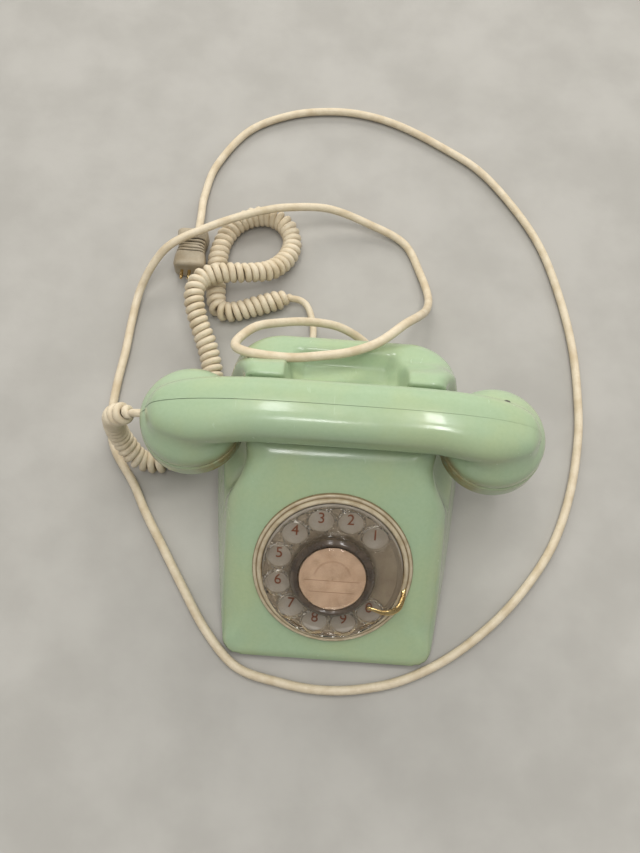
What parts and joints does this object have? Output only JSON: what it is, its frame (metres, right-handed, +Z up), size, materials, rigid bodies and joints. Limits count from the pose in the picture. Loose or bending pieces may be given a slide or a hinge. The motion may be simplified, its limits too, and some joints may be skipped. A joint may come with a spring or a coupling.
{
  "type": "corded rotary desk telephone",
  "caption": "Corded desk telephone with a sloping face, clear rotary finger wheel, cradle with two horns, bar handset, coiled handset cord and straight line cord with plug.",
  "frame": {"origin": "centre of the base plate's underside, 4.5 mm above the floor that the feet stand on", "axes": "+Z up, -Y the front (the sloping dial face looks towards -Y and up), +X the user's right-hand side"},
  "size_m": [0.306, 0.4208, 0.1112],
  "materials": {
    "shell_green": "glossy moulded plastic, slightly yellowed",
    "cream_plastic": "satin ivory plastic",
    "taupe_plate": "satin",
    "clear_acrylic": "clear moulded acrylic",
    "dark_ring": "gloss",
    "label_paper": "matt card",
    "brass": "polished, dulled",
    "steel": "zinc-plated",
    "black_plastic": "matt",
    "rubber": "matt",
    "copper_winding": "enamelled copper",
    "circuit_card": "phenolic board",
    "cord_cream": "satin flexible jacket",
    "plug_grey": "satin"
  },
  "bodies": {
    "base": {"housing": "shell_green", "base_plate": "steel", "foot_front_left": "rubber", "foot_front_right": "rubber", "foot_rear_left": "rubber", "foot_rear_right": "rubber", "housing_screw_left": "steel", "housing_screw_right": "steel", "dial_bezel": "cream_plastic", "number_plate": "taupe_plate", "finger_stop": "brass", "dial_plate": "steel", "dial_back_plate": "steel", "dial_post_top": "brass", "dial_post_left": "brass", "dial_post_right": "brass", "governor_cup": "brass", "pulse_contacts": "copper_winding", "mainspring": "steel", "hook_pin": "steel", "hook_frame": "steel", "hook_spring": "steel", "hook_contacts": "copper_winding", "gong_left": "brass", "gong_right": "brass", "gong_post_left": "steel", "gong_post_right": "steel", "gong_screw_left": "steel", "gong_screw_right": "steel", "ringer_yoke": "steel", "ringer_coil_left": "copper_winding", "ringer_coil_right": "copper_winding", "clapper_pin": "steel", "circuit_board": "circuit_card", "induction_coil": "copper_winding", "capacitor": "steel", "terminal_block": "black_plastic", "handset_cord": "cord_cream", "line_cord": "cord_cream", "line_plug": "plug_grey"},
    "dial_wheel": {"finger_wheel": "clear_acrylic", "hub_ring": "dark_ring", "label_card": "label_paper", "label_lens": "clear_acrylic", "main_shaft": "steel", "main_gear": "brass"},
    "pulse_arbor": {"pulse_shaft": "steel", "worm_wheel": "brass", "pulse_cam": "black_plastic"},
    "governor": {"governor_shaft": "steel", "governor_weights": "brass"},
    "left_plunger": {"plunger_left": "cream_plastic"},
    "right_plunger": {"plunger_right": "cream_plastic"},
    "lever": {"hook_lever": "steel"},
    "striker": {"clapper": "steel"},
    "handset": {"handset_shell": "shell_green", "mouth_cap": "shell_green", "ear_cap": "shell_green", "transmitter_capsule": "black_plastic", "receiver_capsule": "steel"}
  },
  "joints": [
    {"name": "dial_spin", "type": "hinge", "parent": "base", "child": "dial_wheel", "pos_m": [0, -0.0457, 0.0377], "axis": [0, 0.6143, -0.7891], "range_deg": [0, 330]},
    {"name": "pulse_spin", "type": "hinge", "parent": "base", "child": "pulse_arbor", "pos_m": [0.02022, -0.03231, 0.04812], "axis": [0, 0.6143, -0.7891], "range_deg": [-1330, 10]},
    {"name": "governor_spin", "type": "hinge", "parent": "base", "child": "governor", "pos_m": [0.01463, -0.02668, 0.03325], "axis": [-0.6428, 0.6045, 0.4706], "range_deg": [-100, 15900]},
    {"name": "handset_lift", "type": "slide", "parent": "base", "child": "handset", "axis": [0, 0, 1], "range_m": [0, 0.06], "deforming": ["handset_cord"]},
    {"name": "plunger_left_travel", "type": "slide", "parent": "base", "child": "left_plunger", "axis": [0, 0, 1], "range_m": [0, 0.0062]},
    {"name": "plunger_right_travel", "type": "slide", "parent": "base", "child": "right_plunger", "axis": [0, 0, 1], "range_m": [0, 0.0062]},
    {"name": "hook_lever_tilt", "type": "hinge", "parent": "base", "child": "lever", "pos_m": [0, 0.047, 0.0515], "axis": [-1, 0, 0], "range_deg": [0, 14.3]},
    {"name": "clapper_swing", "type": "hinge", "parent": "base", "child": "striker", "pos_m": [0, 0.0315, 0.02], "axis": [0, 0, 1], "range_deg": [-2.5, 2.5]}
  ],
  "couplings": [
    {"joint": "pulse_spin", "follows": "dial_spin", "ratio": -4},
    {"joint": "governor_spin", "follows": "dial_spin", "ratio": 48},
    {"joint": "plunger_left_travel", "follows": "handset_lift", "ratio": 0.1},
    {"joint": "plunger_right_travel", "follows": "handset_lift", "ratio": 0.1},
    {"joint": "hook_lever_tilt", "follows": "handset_lift", "rad_per_m": 4}
  ]
}
